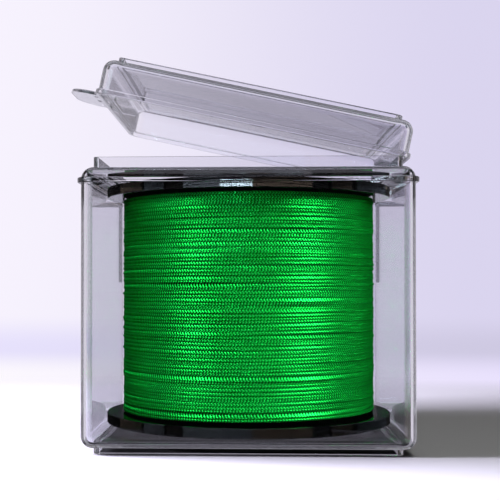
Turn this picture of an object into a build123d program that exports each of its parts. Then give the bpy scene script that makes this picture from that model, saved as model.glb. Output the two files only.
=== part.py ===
from build123d import *
import os

# A fishing line spool in its clear display box, in millimetres, +Z up.
# Origin: centre of the foot ring's underside, so the box stands on Z = 0.
# The lid is hinged on +X and its thumb tab is on -X; -Y is the front.
# The lid is modelled shut and then swung open by lid_angle about its hinge pin.

# ---- driving dimensions -------------------------------------------------------------
# spool
flange_radius = 45.0
flange_thickness = 3.2
flange_gap = 67.45              # clear width between the two flanges
hub_proud = 1.0                 # the hub boss stands this far out of each flange
line_radius = 39.95
line_end_gap = 0.25             # line to flange, at each end of the winding
barrel_radius = 22.5
barrel_wall = 1.5
bore_radius = 7.0
bush_wall = 2.0

# box
body_half = 47.1                # half of the outer width, equal in X and Y
body_corner = 3.6               # vertical corner radius
edge_round = 3.4                # rounding of the bottom edge and of the shoulder
wall = 1.5
foot_height = 1.7
foot_half = 43.6
foot_width = 1.6
rim_z = 77.25                   # plane where the tub and the top frame are joined
rim_proud = 1.0
rim_thickness = 0.75            # of each of the two joined rims
shoulder_z = 81.0
shoulder_wall = 1.0             # thinner than the walls, with a nearly sharp corner inside
shoulder_inner_round = 0.4
lip_half = 43.7
lip_corner = 1.5
lip_wall = 1.2
lip_top = 84.0

# lid, shut
lid_angle = 12.1                # how far it stands open
lid_half = 44.9
lid_corner = 3.4
lid_round = 3.3
lid_wall = 1.6
lid_bottom = 82.45
lid_roof = 93.0
bead_proud = 0.7
bead_height = 1.5
skirt_half = 44.0               # inner half width where the lid goes over the lip
skirt_corner = 2.0
ledge_z = 84.1                  # the lid's inner ledge, just over the lip
ridge_half = 41.3               # stacking ridge on the roof, goes inside a foot ring
ridge_width = 1.6
ridge_height = 1.35

# hinge
hinge_x = 48.6
hinge_z = 82.0
pin_radius = 0.8
pin_clearance = 0.06            # in the lid's knuckles; the frame's knuckles hold the pin
knuckle_radius = 1.7
knuckle_pitch = 5.0
knuckle_length = 4.7
knuckle_lanes = (-2, -1, 0, 1, 2)

edge_break = 0.3                # small rounding of moulded edges
overlap = 0.4                   # how far an added feature reaches into the wall that it is on
cut_margin = 1.0                # how far a cut runs past the face that it opens


# ---- shapes used more than once ------------------------------------------------------
def square_prism(half, corner, low, high):
    """An upright square prism with rounded corners, centred on the Z axis."""
    outline = Plane.XY.offset(low) * RectangleRounded(2 * half, 2 * half, corner)
    return extrude(outline, high - low)


def square_ring(half, corner, width, low, high):
    """A square ring with the given outer half width and section width."""
    outer = square_prism(half, corner, low, high)
    inner_corner = max(corner - width, edge_break)
    return outer - square_prism(half - width, inner_corner, low - cut_margin, high + cut_margin)


def edges_at(solid, height):
    """The edges of a solid that lie level at one height."""
    return solid.edges().filter_by_position(Axis.Z, height - 0.01, height + 0.01)


def ring(outer, inner, low, high):
    """A round ring about the Z axis."""
    sketch = Plane.XY.offset(low) * (Circle(outer) - Circle(inner))
    return extrude(sketch, high - low)


def block(low, high):
    """A box between two corners."""
    size = [b - a for a, b in zip(low, high)]
    centre = [(a + b) / 2 for a, b in zip(low, high)]
    return Pos(*centre) * Box(*size)


def along_hinge(radius, centre_y, length):
    """A rod on the hinge axis."""
    return Pos(hinge_x, centre_y, hinge_z) * Rot(90, 0, 0) * Cylinder(radius, length)


# ---- box -----------------------------------------------------------------------------
def make_tub():
    floor_top = foot_height + wall
    outer = square_prism(body_half, body_corner, foot_height, rim_z)
    outer = fillet(edges_at(outer, foot_height), edge_round)
    hollow = square_prism(body_half - wall, body_corner - wall, floor_top, rim_z + cut_margin)
    hollow = fillet(edges_at(hollow, floor_top), edge_round - wall)
    rim = square_prism(body_half + rim_proud, body_corner + rim_proud, rim_z - rim_thickness, rim_z)
    rim = fillet(edges_at(rim, rim_z - rim_thickness), edge_break)
    foot = square_ring(foot_half, lip_corner, foot_width, 0, foot_height + wall / 2)
    foot = fillet(edges_at(foot, 0), edge_break)
    return outer + rim - hollow + foot


def make_top_frame():
    """The shoulder and lip, joined to the tub after the spool has gone in."""
    outer = square_prism(body_half, body_corner, rim_z, shoulder_z)
    outer = fillet(edges_at(outer, shoulder_z), edge_round)
    ceiling = shoulder_z - shoulder_wall
    hollow = square_prism(body_half - wall, body_corner - wall, rim_z - cut_margin, ceiling)
    hollow = fillet(edges_at(hollow, ceiling), shoulder_inner_round)
    rim = square_prism(body_half + rim_proud, body_corner + rim_proud, rim_z, rim_z + rim_thickness)
    rim = fillet(edges_at(rim, rim_z + rim_thickness), edge_break)
    lip = square_prism(lip_half, lip_corner, ceiling, lip_top)
    lip = fillet(edges_at(lip, lip_top), edge_break / 2)
    mouth = square_prism(lip_half - lip_wall, edge_break, rim_z, lip_top + cut_margin)
    frame = outer + rim + lip - hollow - mouth
    web_half = knuckle_radius - 0.5
    for lane in knuckle_lanes[::2]:
        centre_y = lane * knuckle_pitch
        web = block(
            (hinge_x - web_half, centre_y - knuckle_length / 2, rim_z + rim_thickness / 2),
            (hinge_x + web_half, centre_y + knuckle_length / 2, hinge_z),
        )
        frame += web + along_hinge(knuckle_radius, centre_y, knuckle_length)
        frame -= along_hinge(pin_radius, centre_y, knuckle_length)
    return frame


def make_thumb_tab():
    tab_centre_y = -27.0
    tab_width = 22.0
    tab_tip = -54.3
    tab_corner = 6.5
    tab_bottom = lid_bottom + 0.25
    tab_thickness = 1.0
    slot_pitch = 7.2
    slot_length = 3.0
    slot_width = 1.0
    slot_x = -lid_half - bead_proud - 0.9
    root = -lid_half + overlap
    outline = Pos((tab_tip + root) / 2, tab_centre_y) * Rectangle(root - tab_tip, tab_width)
    tips = outline.vertices().group_by(Axis.X)[0]
    outline = fillet(tips, tab_corner)
    for step in (-1, 0, 1):
        slot = Pos(slot_x, tab_centre_y + step * slot_pitch)
        outline -= slot * SlotOverall(slot_length, slot_width, rotation=90)
    tab = extrude(Plane.XY.offset(tab_bottom) * outline, tab_thickness)
    return fillet(edges_at(tab, tab_bottom + tab_thickness).sort_by(Axis.X)[:3], edge_break)


def make_latch_rib():
    """Capsule-shaped rib inside the lid's wall on the tab side."""
    rib_y = -9.0
    rib_z = 85.3
    rib_length = 24.0
    rib_height = 1.5
    rib_proud = 0.5
    inner_face = -lid_half + lid_wall
    face = Plane(origin=(inner_face - overlap, rib_y, rib_z), x_dir=(0, 1, 0), z_dir=(1, 0, 0))
    rib = extrude(face * SlotOverall(rib_length, rib_height), rib_proud + overlap)
    return fillet(rib.edges().group_by(Axis.X)[-1], edge_break)


def make_lid():
    inner_half = lid_half - lid_wall
    ceiling = lid_roof - wall
    inner_round = lid_corner - lid_wall - 0.1
    arm_below = 0.3             # the hinge arms' height below and above the pin
    arm_above = 1.4
    outer = square_prism(lid_half, lid_corner, lid_bottom, lid_roof)
    outer = fillet(edges_at(outer, lid_roof), lid_round)
    hollow = square_prism(inner_half, lid_corner - lid_wall, ledge_z, ceiling)
    hollow = fillet(edges_at(hollow, ceiling), inner_round)
    skirt = square_prism(skirt_half, skirt_corner, lid_bottom - cut_margin, ledge_z)
    bead_top = lid_bottom + bead_height
    bead = square_prism(lid_half + bead_proud, lid_corner + bead_proud, lid_bottom, bead_top)
    bead = fillet(edges_at(bead, lid_bottom) + edges_at(bead, bead_top), edge_break)
    ridge_top = lid_roof + ridge_height
    ridge = square_ring(ridge_half, lip_corner, ridge_width, lid_roof - wall / 2, ridge_top)
    ridge = fillet(edges_at(ridge, ridge_top), edge_break)
    lid = outer + bead + ridge - hollow - skirt + make_thumb_tab() + make_latch_rib()
    for lane in knuckle_lanes[1::2]:
        centre_y = lane * knuckle_pitch
        arm = block(
            (lid_half - overlap, centre_y - knuckle_length / 2, hinge_z - arm_below),
            (hinge_x, centre_y + knuckle_length / 2, hinge_z + arm_above),
        )
        arm -= skirt
        lid += arm + along_hinge(knuckle_radius, centre_y, knuckle_length)
        lid -= along_hinge(pin_radius + pin_clearance, centre_y, knuckle_length + cut_margin)
    return lid.rotate(Axis((hinge_x, 0, hinge_z), (0, 1, 0)), lid_angle)


def make_hinge_pin():
    length = knuckle_pitch * (len(knuckle_lanes) - 1) + knuckle_length
    pin = along_hinge(pin_radius, 0, length)
    return chamfer(pin.edges().filter_by(GeomType.CIRCLE), edge_break / 2)


# ---- spool heights -------------------------------------------------------------------
floor_gap = 0.2                 # under the lower hub boss
spool_bottom = foot_height + wall + floor_gap + hub_proud
lower_top = spool_bottom + flange_thickness
upper_bottom = lower_top + flange_gap
upper_top = upper_bottom + flange_thickness
bush_radius = bore_radius + bush_wall
hub_low = spool_bottom - hub_proud
hub_high = upper_top + hub_proud


# ---- spool ---------------------------------------------------------------------------
def clip_cuts(low, high):
    """Cuts that free four line clips at the rim, two at the front and two at the back."""
    slit_angle = 31.6           # from the Y axis
    slit_width = 0.5
    tongue_angle = 7.6
    tongue_depth = 2.2
    tongue_recess = 0.35
    reach = flange_radius + cut_margin
    height = high - low
    base = Plane.XY.offset(low)
    wedge = Polygon((0, 0), (reach, 0), Vector(reach, 0).rotate(Axis.Z, tongue_angle), align=None)
    behind = Circle(flange_radius - tongue_depth + slit_width) - Circle(flange_radius - tongue_depth)
    face = Circle(reach) - Circle(flange_radius - tongue_recess)
    slit = Pos(flange_radius, 0) * Rectangle(2 * tongue_depth, slit_width)
    cut = Rot(0, 0, 90 - slit_angle) * (slit + (behind & wedge) + (face & wedge))
    cuts = cut + mirror(cut, Plane.YZ)
    return extrude(base * (cuts + mirror(cuts, Plane.XZ)), height)


def make_flange(rim_low, inside):
    """One flange. inside is +1 where the winding is above it and -1 where it is below."""
    web_recess = 1.2
    recess_outer = 41.5
    recess_inner = 15.0
    spigot_wall = 1.5
    spigot_length = 6.0
    rim_high = rim_low + flange_thickness
    inner_face, outer_face = (rim_high, rim_low) if inside > 0 else (rim_low, rim_high)
    recess_floor = outer_face + inside * web_recess
    hub_end = outer_face - inside * hub_proud
    spigot_end = inner_face + inside * spigot_length
    disc = ring(flange_radius, bush_radius, rim_low, rim_high)
    disc = fillet(disc.edges().filter_by(GeomType.CIRCLE).group_by(SortBy.RADIUS)[-1], edge_break)
    disc -= ring(recess_outer, recess_inner, *sorted((outer_face, recess_floor)))
    disc += ring(recess_inner, bush_radius, *sorted((hub_end, recess_floor)))
    spigot_radius = barrel_radius - barrel_wall
    disc += ring(spigot_radius, spigot_radius - spigot_wall, *sorted((inner_face, spigot_end)))
    return disc - clip_cuts(rim_low - cut_margin, rim_high + cut_margin)


def make_barrel():
    return ring(barrel_radius, barrel_radius - barrel_wall, lower_top, upper_bottom)


def make_hub_bush():
    bush = ring(bush_radius, bore_radius, hub_low, hub_high)
    return chamfer(bush.edges().filter_by(GeomType.CIRCLE), edge_break)


def make_line_pack():
    """The whole winding as one closed ring; its outside is the outside of the outer turns."""
    return ring(line_radius, barrel_radius, lower_top + line_end_gap, upper_bottom - line_end_gap)


# ---- write one file per piece --------------------------------------------------------
pieces = {
    "box_tub": make_tub(),
    "box_top_frame": make_top_frame(),
    "box_lid": make_lid(),
    "lid_hinge_pin": make_hinge_pin(),
    "spool_lower_flange": make_flange(spool_bottom, +1),
    "spool_upper_flange": make_flange(upper_bottom, -1),
    "spool_barrel": make_barrel(),
    "spool_hub_bush": make_hub_bush(),
    "line_winding": make_line_pack(),
}
os.makedirs("parts", exist_ok=True)
for name, piece in pieces.items():
    export_step(piece, f"parts/{name}.step")
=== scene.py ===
import math

import bpy
import numpy as np
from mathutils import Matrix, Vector


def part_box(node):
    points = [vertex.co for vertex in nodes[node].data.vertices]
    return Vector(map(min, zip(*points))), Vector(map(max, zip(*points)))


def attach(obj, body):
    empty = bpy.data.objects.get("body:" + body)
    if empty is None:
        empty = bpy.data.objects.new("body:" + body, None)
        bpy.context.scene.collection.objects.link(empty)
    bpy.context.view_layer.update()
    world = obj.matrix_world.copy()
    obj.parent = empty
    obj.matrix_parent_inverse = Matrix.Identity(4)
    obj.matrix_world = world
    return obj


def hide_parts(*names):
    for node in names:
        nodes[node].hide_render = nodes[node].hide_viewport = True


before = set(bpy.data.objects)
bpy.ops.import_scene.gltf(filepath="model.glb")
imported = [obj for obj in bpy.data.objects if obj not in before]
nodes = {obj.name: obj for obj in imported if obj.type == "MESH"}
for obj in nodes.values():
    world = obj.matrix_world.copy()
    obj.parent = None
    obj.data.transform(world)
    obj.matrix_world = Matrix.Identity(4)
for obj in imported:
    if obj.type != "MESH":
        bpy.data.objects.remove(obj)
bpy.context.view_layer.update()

MM = 0.001


# ---- small helpers -------------------------------------------------------------------
class Nodes:
    """A short way to write the node tree of a material, a light or the world."""

    def __init__(self, tree, output):
        self.tree = tree
        self.tree.nodes.clear()
        self.output = self.tree.nodes.new(output)

    def add(self, kind, **settings):
        node = self.tree.nodes.new("ShaderNode" + kind)
        for key, value in settings.items():
            setattr(node, key, value)
        return node

    def link(self, source, target):
        self.tree.links.new(source, target)

    def feed(self, value, socket):
        """Links a socket to another, or sets it to a plain value."""
        if isinstance(value, bpy.types.NodeSocket):
            self.link(value, socket)
        else:
            socket.default_value = value

    def finish(self, shader):
        self.link(shader, self.output.inputs["Surface"])

    def math(self, operation, *inputs):
        node = self.add("Math", operation=operation)
        for value, socket in zip(inputs, node.inputs):
            self.feed(value, socket)
        return node.outputs[0]

    def separate(self, vector):
        """The X, Y and Z of a vector."""
        node = self.add("SeparateXYZ")
        self.link(vector, node.inputs[0])
        return node.outputs[0], node.outputs[1], node.outputs[2]

    def noise(self, coordinates, scale, detail=3.0, roughness=0.5):
        node = self.add("TexNoise")
        self.link(coordinates, node.inputs["Vector"])
        node.inputs["Scale"].default_value = scale
        node.inputs["Detail"].default_value = detail
        node.inputs["Roughness"].default_value = roughness
        return node.outputs[0]

    def spread(self, value, source, target=(0, 1), kind="LINEAR"):
        """Carries the range from source[0] to source[1] over to the target's, and holds it outside them."""
        node = self.add("MapRange", interpolation_type=kind)
        self.link(value, node.inputs["Value"])
        for name, number in zip(("From Min", "From Max", "To Min", "To Max"), (*source, *target)):
            node.inputs[name].default_value = number
        return node.outputs[0]

    def mix_colours(self, factor, first, second):
        node = self.add("Mix", data_type="RGBA")
        self.feed(factor, node.inputs[0])
        self.feed(first, node.inputs[6])
        self.feed(second, node.inputs[7])
        return node.outputs[2]

    def mix_shaders(self, factor, first, second):
        node = self.add("MixShader")
        self.link(factor, node.inputs[0])
        self.link(first, node.inputs[1])
        self.link(second, node.inputs[2])
        return node.outputs[0]

    def bump(self, height, distance, strength=1.0):
        node = self.add("Bump")
        self.link(height, node.inputs["Height"])
        node.inputs["Distance"].default_value = distance
        node.inputs["Strength"].default_value = strength
        return node.outputs[0]

    def between(self, value, low, high):
        """1 where value is between low and high, else 0."""
        above = self.math("GREATER_THAN", value, low)
        return self.math("MULTIPLY", above, self.math("LESS_THAN", value, high))


def material(name):
    made = bpy.data.materials.new(name)
    made.use_nodes = True
    return made, Nodes(made.node_tree, "ShaderNodeOutputMaterial")


def paint(piece, finish):
    piece.data.materials.clear()
    piece.data.materials.append(finish)


def mesh_piece(name, vertices, faces):
    mesh = bpy.data.meshes.new(name)
    mesh.from_pydata([tuple(v) for v in vertices], [], [tuple(f) for f in faces])
    mesh.update()
    mesh.polygons.foreach_set("use_smooth", [True] * len(mesh.polygons))
    piece = bpy.data.objects.new(name, mesh)
    bpy.context.scene.collection.objects.link(piece)
    return piece


# ---- materials -----------------------------------------------------------------------
def clear_plastic():
    """Polished clear styrene with the faint waviness of a moulded wall."""
    made, n = material("clear_styrene")
    place = n.add("TexCoord").outputs["Object"]
    shader = n.add("BsdfPrincipled")
    smudges = n.noise(place, scale=90, detail=4)
    tint = n.mix_colours(smudges, (0.90, 0.895, 0.93, 1), (0.92, 0.915, 0.95, 1))
    n.link(tint, shader.inputs["Base Color"])
    shader.inputs["Transmission Weight"].default_value = 1.0
    shader.inputs["IOR"].default_value = 1.52
    n.link(n.spread(smudges, (0.35, 0.75), (0.0, 0.02)), shader.inputs["Roughness"])
    waves = n.noise(place, scale=45, detail=1)
    n.link(n.bump(waves, distance=0.01 * MM, strength=0.4), shader.inputs["Normal"])

    # in place of caustics, each face lets this much of a lamp's light through
    see_through = n.add("BsdfTransparent")
    see_through.inputs["Color"].default_value = (0.30, 0.30, 0.30, 1)
    lamp_ray = n.add("LightPath").outputs["Is Shadow Ray"]
    n.finish(n.mix_shaders(lamp_ray, shader.outputs[0], see_through.outputs[0]))
    return made


def black_plastic():
    """Glossy black moulded plastic, with faint orange peel and fine scuffs."""
    made, n = material("black_gloss_plastic")
    place = n.add("TexCoord").outputs["Object"]
    shader = n.add("BsdfPrincipled")
    cloud = n.noise(place, scale=40, detail=4)
    colour = n.mix_colours(cloud, (0.0010, 0.0012, 0.0012, 1), (0.0026, 0.0028, 0.0030, 1))
    n.link(colour, shader.inputs["Base Color"])
    scuffs = n.noise(place, scale=260, detail=6, roughness=0.65)
    n.link(n.spread(scuffs, (0.4, 0.8), (0.015, 0.09)), shader.inputs["Roughness"])
    shader.inputs["IOR"].default_value = 1.5
    orange_peel = n.noise(place, scale=500, detail=2)
    n.link(n.bump(orange_peel, distance=0.006 * MM, strength=0.3), shader.inputs["Normal"])
    n.finish(shader.outputs[0])
    return made


def braided_line():
    """Green braid. In the UV map, u runs along the line, one chevron to a unit, and v across it, 0 to 1."""
    made, n = material("green_braid")
    along, across, _ = n.separate(n.add("UVMap").outputs[0])
    place = n.add("TexCoord").outputs["Object"]

    # the strands lean away from the turn's middle on both sides, which makes the chevrons
    lean = 1.5
    fold = n.math("ABSOLUTE", n.math("SUBTRACT", across, 0.5))
    wobble = n.math("MULTIPLY", n.math("SUBTRACT", n.noise(place, scale=400, detail=2), 0.5), 0.5)
    phase = n.math("ADD", n.math("ADD", along, n.math("MULTIPLY", fold, lean)), wobble)
    wave = n.math("SINE", n.math("MULTIPLY", phase, 2 * math.pi))
    strand = n.spread(wave, (-0.3, 0.6), kind="SMOOTHSTEP")
    valley = n.spread(fold, (0.38, 0.5), (1, 0.3), kind="SMOOTHSTEP")
    height = n.math("MULTIPLY", strand, valley)

    shader = n.add("BsdfPrincipled")
    patches = n.noise(place, scale=70)
    bright = n.mix_colours(patches, (0.004, 0.62, 0.05, 1), (0.010, 0.92, 0.11, 1))
    # painted shade: the base colour is painted nearly black in the gaps between strands and darker in the
    # groove between turns
    painted_gap_shade = (0.0, 0.025, 0.0, 1)
    n.link(n.mix_colours(n.spread(height, (0.0, 0.8)), painted_gap_shade, bright), shader.inputs["Base Color"])
    fibres = n.noise(place, scale=900)
    n.link(n.spread(fibres, (0.3, 0.7), (0.34, 0.44)), shader.inputs["Roughness"])
    shader.inputs["Metallic"].default_value = 0.95
    shader.inputs["Specular IOR Level"].default_value = 0.1
    shader.inputs["Specular Tint"].default_value = (0.02, 0.5, 0.05, 1)
    n.link(n.bump(height, distance=0.1 * MM), shader.inputs["Normal"])
    n.finish(shader.outputs[0])
    return made


# ---- the wound line ------------------------------------------------------------------
def smooth_random(noise, knots, position):
    """A smooth random curve through evenly spaced values, at positions from 0 to 1."""
    values = noise.normal(0, 1, knots)
    x = position * (knots - 1)
    i = np.minimum(x.astype(int), knots - 2)
    t = x - i
    t = t * t * (3 - 2 * t)
    return values[i] * (1 - t) + values[i + 1] * t


def make_winding():
    """The outer layer of line as one helical skin, with a round top on every turn."""
    low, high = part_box("line_winding")
    radius = high.x
    widest_row = 1.06 * MM
    crown = 0.20 * MM               # how far a turn's top stands over the groove beside it
    slack = 0.10 * MM               # room left for turns that lie proud
    lift_spread = 0.13 * MM         # how unevenly the turns stand out
    shift_spread = 0.24 * MM        # how unevenly they lie beside each other
    chevron_length = 0.92 * MM
    roundness = 0.97                # 1 makes the turn's section a half ellipse
    points_across = 6
    steps_round = 256
    knots_per_turn = 5
    seed = 5

    rows = int((high.z - low.z) / widest_row)
    row_pitch = (high.z - low.z) / rows
    turns = rows - 1
    total = turns * steps_round
    steps = np.arange(total + steps_round)
    position = steps / steps[-1]
    noise = np.random.default_rng(seed)
    lift = smooth_random(noise, turns * knots_per_turn, position) * lift_spread
    shift = smooth_random(noise, turns * knots_per_turn, position) * shift_spread

    angle = 2 * np.pi * steps / steps_round
    v = np.arange(points_across) / points_across
    bow = np.sqrt(np.clip(1 - roundness * (2 * v - 1) ** 2, 0, 1))
    r = radius - slack - crown + crown * bow[None, :] + lift[:, None] * np.sin(np.pi * v)[None, :]
    r = np.minimum(r, radius + slack)
    z = low.z + row_pitch * (steps[:, None] / steps_round + v[None, :]) + shift[:, None]
    z = np.clip(z, low.z, high.z)
    vertices = np.stack([r * np.cos(angle)[:, None], r * np.sin(angle)[:, None], z], axis=-1).reshape(-1, 3)

    def index(i, j):
        """The vertex at step i and point j across. One past the last point is the next turn's first."""
        if j == points_across:
            return (i + steps_round) * points_across
        return i * points_across + j

    chevrons_per_step = 2 * np.pi * radius / steps_round / chevron_length
    faces = []
    uvs = []
    for i in range(total - 1):
        u0 = i * chevrons_per_step
        u1 = (i + 1) * chevrons_per_step
        for j in range(points_across):
            v0 = j / points_across
            v1 = (j + 1) / points_across
            faces.append((index(i, j), index(i + 1, j), index(i + 1, j + 1), index(i, j + 1)))
            uvs += [(u0, v0), (u1, v0), (u1, v1), (u0, v1)]

    # the last turn's points that no face uses are left out
    used = np.zeros(len(vertices), bool)
    used[np.array(faces).ravel()] = True
    new_index = np.cumsum(used) - 1
    faces = [tuple(new_index[list(f)]) for f in faces]
    piece = mesh_piece("line_turns", vertices[used], faces)
    layer = piece.data.uv_layers.new(name="UVMap")
    layer.data.foreach_set("uv", np.array(uvs, np.float32).ravel())
    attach(piece, "spool")
    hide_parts("line_winding")
    paint(piece, braided_line())
    return piece


# ---- put it together -----------------------------------------------------------------
clear = clear_plastic()
black = black_plastic()
for node in ("box_tub", "box_top_frame", "box_lid", "lid_hinge_pin"):
    paint(nodes[node], clear)
for node in ("spool_lower_flange", "spool_upper_flange", "spool_barrel", "spool_hub_bush"):
    paint(nodes[node], black)
line_turns = make_winding()


# ---- studio: the paper ---------------------------------------------------------------
def mirrored(n):
    """1 for a ray that some glossy surface has mirrored. It meets the world's panels and not the paper."""
    return n.math("GREATER_THAN", n.add("LightPath").outputs["Glossy Depth"], 0.5)


def backdrop_paper():
    """Pale paper. Near the object the lamps light it, and its colour is painted darker towards the back
    right as painted shade. Further off it glows with painted light, brighter on the left, with painted shade
    where the floor curves up into the wall.

    The ranges are places in metres.
    """
    made, n = material("backdrop_paper")
    place = n.add("TexCoord").outputs["Object"]
    x, y, z = n.separate(place)
    right = n.spread(x, (-0.22, 0.20), kind="SMOOTHSTEP")

    paper = n.add("BsdfPrincipled")
    paper.inputs["Roughness"].default_value = 0.9
    paper.inputs["Specular IOR Level"].default_value = 0.0
    # painted shade: the paper's colour is painted darker towards the back right, as the lamps' light falls
    # off
    painted_falloff = n.math("MULTIPLY", right, n.spread(y, (-0.06, 0.11), kind="SMOOTHSTEP"))
    paper_with_painted_falloff = n.mix_colours(painted_falloff, (0.82, 0.82, 0.82, 1), (0.56, 0.55, 0.56, 1))
    n.link(paper_with_painted_falloff, paper.inputs["Base Color"])

    # painted light: further off, the paper glows instead of being lit, dimmer on the right, with painted
    # shade in the corner where the floor curves up into the wall
    wall = n.mix_colours(right, (0.93, 0.89, 0.99, 1), (0.70, 0.66, 0.86, 1))
    far_floor = n.mix_colours(right, (1.0, 0.97, 1.0, 1), (0.80, 0.74, 0.98, 1))
    corner = n.mix_colours(right, (0.80, 0.76, 0.98, 1), (0.62, 0.585, 0.76, 1))
    near_corner = n.spread(y, (0.20, 0.42), kind="SMOOTHSTEP")
    up_wall = n.spread(z, (0.0, 0.025), kind="SMOOTHSTEP")
    glow = n.add("Emission")
    shade = n.mix_colours(up_wall, n.mix_colours(near_corner, far_floor, corner), wall)
    n.link(shade, glow.inputs["Color"])

    distance = n.add("VectorMath", operation="LENGTH")
    n.link(place, distance.inputs[0])
    far_round = n.spread(distance.outputs["Value"], (0.38, 0.70), kind="SMOOTHSTEP")
    far_behind = n.spread(y, (0.13, 0.20), kind="SMOOTHSTEP")
    surface = n.mix_shaders(n.math("MAXIMUM", far_behind, far_round), paper.outputs[0], glow.outputs[0])

    # the paper is there for the eye, and neither lights the object nor shows in its gloss
    scattered = n.math("GREATER_THAN", n.add("LightPath").outputs["Diffuse Depth"], 0.5)
    unseen = n.math("MAXIMUM", mirrored(n), scattered)
    n.finish(n.mix_shaders(unseen, surface, n.add("BsdfTransparent").outputs[0]))
    return made


def make_backdrop():
    """A pale floor that curves up into a wall behind."""
    floor_back = 0.44
    curve = 0.06
    half_width = 3.0
    front = -2.5
    top = 2.5
    curve_steps = 16
    profile = [(front, 0.0), (floor_back, 0.0)]
    for step in range(1, curve_steps + 1):
        a = step / curve_steps * math.pi / 2
        profile.append((floor_back + curve * math.sin(a), curve * (1 - math.cos(a))))
    profile.append((floor_back + curve, top))
    vertices = []
    for y, z in profile:
        vertices += [(-half_width, y, z), (half_width, y, z)]
    faces = [(2 * i, 2 * i + 1, 2 * i + 3, 2 * i + 2) for i in range(len(profile) - 1)]
    backdrop = mesh_piece("backdrop", vertices, faces)
    paint(backdrop, backdrop_paper())
    return backdrop


# ---- studio: the air and what the gloss mirrors ---------------------------------------
def ray_direction(n):
    """The azimuth and elevation of a ray, in degrees. 0, 0 is the front; + is to the right and up."""
    x, y, z = n.separate(n.add("TexCoord").outputs["Generated"])
    degrees = 180 / math.pi
    azimuth = n.math("MULTIPLY", n.math("ARCTAN2", x, n.math("MULTIPLY", y, -1.0)), degrees)
    elevation = n.math("MULTIPLY", n.math("ARCSINE", z), degrees)
    return azimuth, elevation


def panels_round(n, azimuth):
    """The coloured panels that stand round the object."""
    brown = (1.0, 0.80, 0.62)
    dark = (0.02, 0.02, 0.02)
    blue = (0.80, 0.95, 1.10)
    grey = (0.85, 1.0, 1.12)
    pale = (0.96, 0.93, 1.08)
    # the azimuth where each panel ends, its colour and its brightness
    panels = (
        (-165, pale, 0.72),
        (-125, dark, 2.0),
        (-94, brown, 0.60),
        (-90, dark, 1.0),
        (-68, blue, 1.25),
        (-53, dark, 8.0),
        (-20, grey, 2.3),
        (2, blue, 1.9),
        (49, brown, 1.45),
        (68, dark, 8.0),
        (90, brown, 0.50),
        (95, dark, 1.0),
        (144, blue, 0.35),
        (165, dark, 5.0),
        (180, pale, 0.72),
    )
    ramp = n.add("ValToRGB")
    ramp.color_ramp.interpolation = "CONSTANT"
    stops = ramp.color_ramp.elements
    start = -180
    for number, (end, colour, strength) in enumerate(panels):
        place = (start + 180) / 360
        stop = stops[number] if number < 2 else stops.new(place)
        stop.position = place
        stop.color = [c * strength for c in colour] + [1]
        start = end
    n.link(n.spread(azimuth, (-180, 180)), ramp.inputs[0])
    return ramp.outputs[0]


def mirrored_room(n, from_inside):
    """What the gloss mirrors: the panels round the room, dimmer below, a pale ceiling, and dark in front.

    Azimuths and elevations are in degrees.
    """
    back_from = 165             # azimuths this far round, either way, are behind the object
    ceiling_from = 45
    floor_from = -16
    underside_from = -45
    dimness = 0.28

    azimuth, elevation = ray_direction(n)
    aside = n.math("ABSOLUTE", azimuth)
    from_outside = n.math("SUBTRACT", 1.0, from_inside)
    behind = n.math("GREATER_THAN", aside, back_from)
    panels = panels_round(n, azimuth)

    # below the horizon the panels are dim, except behind
    dim = n.mix_colours(n.math("MAXIMUM", behind, dimness), (0, 0, 0, 1), panels)
    horizon = n.spread(from_inside, (0, 1), (5.4, 3.0))
    room = n.mix_colours(n.math("GREATER_THAN", elevation, horizon), dim, panels)

    # the upper wall in front and at the sides, and the ceiling
    high = n.spread(elevation, (14, 22), kind="SMOOTHSTEP")
    upper_front = n.math("MULTIPLY", high, n.math("LESS_THAN", aside, 120))
    room = n.mix_colours(upper_front, room, (0.10, 0.10, 0.12, 1))
    room = n.mix_colours(n.math("GREATER_THAN", elevation, ceiling_from), room, (0.72, 0.70, 0.82, 1))

    # behind the object: grey low down and dark above, and darkest straight behind
    back_low = n.math("MULTIPLY", behind, n.spread(elevation, (-9, -4), (1, 0), kind="SMOOTHSTEP"))
    room = n.mix_colours(back_low, room, (0.30, 0.29, 0.33, 1))
    dark_from = n.spread(aside, (174.4, 174.6), (4, 0))
    back_high = n.math("MULTIPLY", behind, n.between(elevation, dark_from, ceiling_from))
    room = n.mix_colours(back_high, room, (0.045, 0.050, 0.055, 1))

    # the floor, and straight down under the box
    room = n.mix_colours(n.math("LESS_THAN", elevation, floor_from), room, (0.30, 0.29, 0.34, 1))
    room = n.mix_colours(n.math("LESS_THAN", elevation, underside_from), room, (0.02, 0.02, 0.022, 1))

    # pale sides, which only the box's outer faces mirror
    side = n.math("MULTIPLY", n.between(aside, 80, back_from), from_outside)
    side = n.math("MULTIPLY", side, n.between(elevation, -20, 25))
    room = n.mix_colours(n.math("MULTIPLY", side, 0.85), room, (0.86, 0.82, 0.92, 1))

    # a black veil straight in front, which only the box's outer faces mirror
    veil = n.math("MULTIPLY", from_outside, n.between(elevation, -20, 30))
    veil = n.math("MULTIPLY", n.between(azimuth, -14, 14), veil)
    room = n.mix_colours(veil, room, (0.006, 0.006, 0.007, 1))

    # a strip lamp in front, which only the spool mirrors
    lamp = n.math("MULTIPLY", n.between(azimuth, -21.5, 3.5), n.between(elevation, 4.4, 6.0))
    return n.mix_colours(n.math("MULTIPLY", lamp, from_inside), room, (23.0, 30.0, 32.0, 1))


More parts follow.
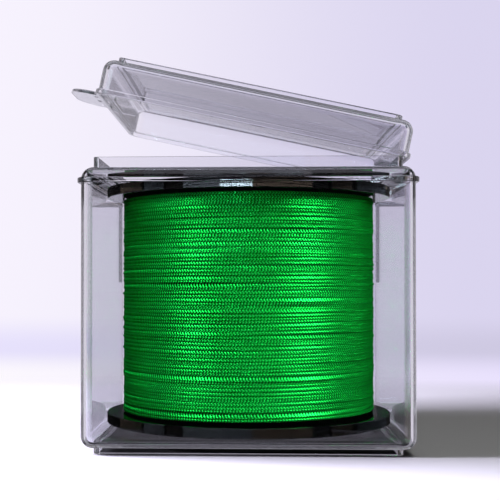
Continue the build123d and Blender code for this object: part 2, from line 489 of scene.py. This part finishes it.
def make_world():
    """Pale air to look through, a little light for rough surfaces, and the room that the gloss mirrors."""
    world = bpy.data.worlds.new("studio_air")
    bpy.context.scene.world = world
    world.use_nodes = True
    n = Nodes(world.node_tree, "ShaderNodeOutputWorld")
    path = n.add("LightPath")

    # in through a wall is two faces and out again is two more, so such a ray comes from something in the box
    under_four_faces = 3.5
    from_inside = n.math("GREATER_THAN", path.outputs["Transmission Depth"], under_four_faces)
    room = mirrored_room(n, from_inside)

    # what is seen straight or through the plastic is pale, and what lights a rough surface is nearly dark
    seen = n.math("MAXIMUM", path.outputs["Is Camera Ray"], path.outputs["Is Transmission Ray"])
    seen = n.math("MULTIPLY", seen, n.math("LESS_THAN", path.outputs["Diffuse Depth"], 0.5))
    air = n.mix_colours(seen, (0.02, 0.02, 0.02, 1), (0.86, 0.84, 0.95, 1))
    background = n.add("Background")
    n.link(n.mix_colours(mirrored(n), air, room), background.inputs["Color"])
    n.finish(background.outputs[0])


# ---- studio: lamps and camera ---------------------------------------------------------
def area_light(name, place, size, power, colour=(1, 1, 1)):
    """A square soft light that looks at the object and is as bright at every distance."""
    data = bpy.data.lights.new(name, "AREA")
    data.shape = "SQUARE"
    data.size = size
    data.energy = power
    data.color = colour
    data.use_nodes = True
    n = Nodes(data.node_tree, "ShaderNodeOutputLight")
    beam = n.add("Emission")
    falloff = n.add("LightFalloff")
    falloff.inputs["Strength"].default_value = 1.0
    n.link(falloff.outputs["Constant"], beam.inputs["Strength"])
    n.finish(beam.outputs[0])
    lamp = bpy.data.objects.new(name, data)
    bpy.context.scene.collection.objects.link(lamp)
    lamp.location = place
    object_middle = Vector((0, 0, 0.045))
    lamp.rotation_euler = (object_middle - lamp.location).to_track_quat("-Z", "Y").to_euler()
    lamp.visible_camera = False
    lamp.visible_transmission = False
    return lamp


def light_only(lamp, pieces):
    """Makes a lamp light these pieces and nothing else."""
    group = bpy.data.collections.new(lamp.name + "_receivers")
    for piece in pieces:
        group.objects.link(piece)
    lamp.light_linking.receiver_collection = group


def make_lights(backdrop):
    """Two lamps on the left and a fill light the paper, and two more light the line."""
    lilac = (1.0, 0.955, 1.19)
    key = area_light("key_left", (-0.267, -0.028, 0.19), size=0.11, power=18.5, colour=lilac)
    glow = area_light("glow_left", (-0.267, -0.030, 0.19), size=0.18, power=5.5, colour=lilac)
    fill = area_light("fill_top", (0.25, 0.08, 1.3), size=0.5, power=1.75)
    for lamp in (key, glow, fill):
        light_only(lamp, [backdrop])
    left = area_light("line_left", (-0.61, -0.51, 0.46), size=0.24, power=115.0)
    right = area_light("line_right", (0.665, -0.43, 0.46), size=0.24, power=225.0)
    for lamp in (left, right):
        light_only(lamp, [line_turns])


def make_camera():
    """A long lens close to level with the middle of the box, turned and tilted a little."""
    tilt_up = 0.0162
    turn_left = 0.0392
    data = bpy.data.cameras.new("camera")
    data.lens = 77.09
    data.sensor_width = 36
    data.shift_x = 0.08
    data.shift_y = 0.0303
    data.clip_start = 0.01
    camera = bpy.data.objects.new("camera", data)
    bpy.context.scene.collection.objects.link(camera)
    camera.location = (0.00128, -0.34502, 0.04837)
    camera.rotation_euler = (math.pi / 2 + tilt_up, 0, turn_left)
    bpy.context.scene.camera = camera


make_lights(make_backdrop())
make_world()
make_camera()

# light that is caught in a clear wall needs many bounces to come out again
wall_bounces = 64
scene = bpy.context.scene
scene.view_settings.view_transform = "Standard"
scene.cycles.max_bounces = wall_bounces
scene.cycles.glossy_bounces = wall_bounces
scene.cycles.transmission_bounces = wall_bounces
scene.cycles.transparent_max_bounces = 32
scene.cycles.caustics_reflective = False
scene.cycles.caustics_refractive = False
